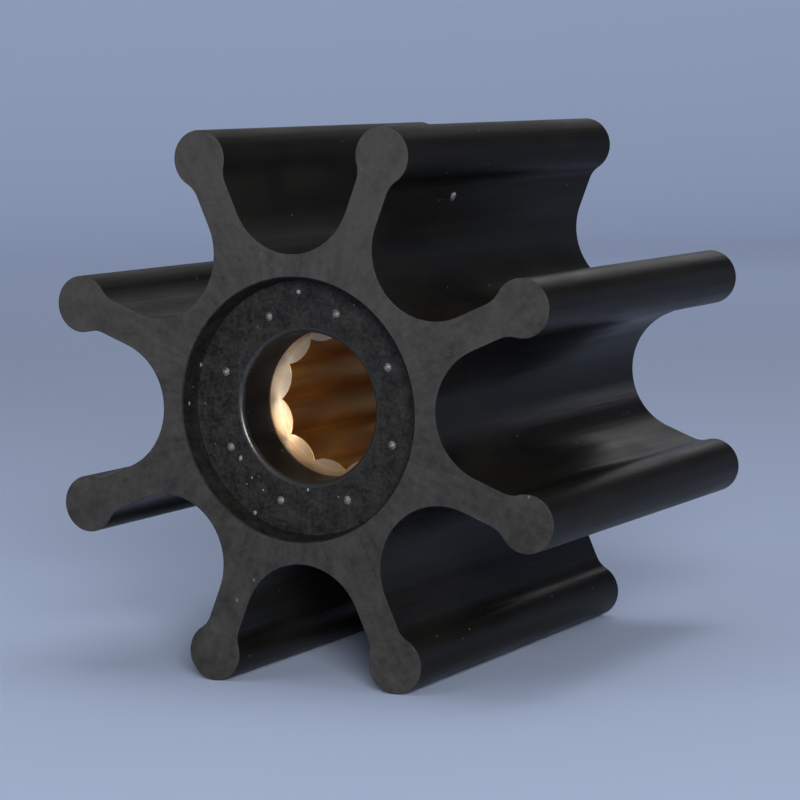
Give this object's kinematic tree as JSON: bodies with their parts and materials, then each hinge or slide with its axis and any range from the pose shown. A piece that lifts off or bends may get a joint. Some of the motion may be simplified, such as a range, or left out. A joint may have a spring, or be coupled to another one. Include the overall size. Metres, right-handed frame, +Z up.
{
  "type": "pump impeller",
  "caption": "Flexible pump impeller: a rubber hub with straight beaded vanes all round, recessed end faces and a splined brass bush moulded into its bore.",
  "frame": {"origin": "on the shaft axis, half way along the body", "axes": "+Y along the shaft axis, from the front end face to the back one; +Z up, half way between two vanes"},
  "size_m": [0.0606, 0.0524, 0.0606],
  "materials": {
    "rubber": "black moulded rubber with a soft sheen on the vanes and pockets, end faces ground matt grey",
    "brass": "turned and broached, bright at the ends and browner down the splines"
  },
  "bodies": {
    "root": {"rubber_vane_body": "rubber", "splined_bush": "brass"}
  },
  "joints": []
}
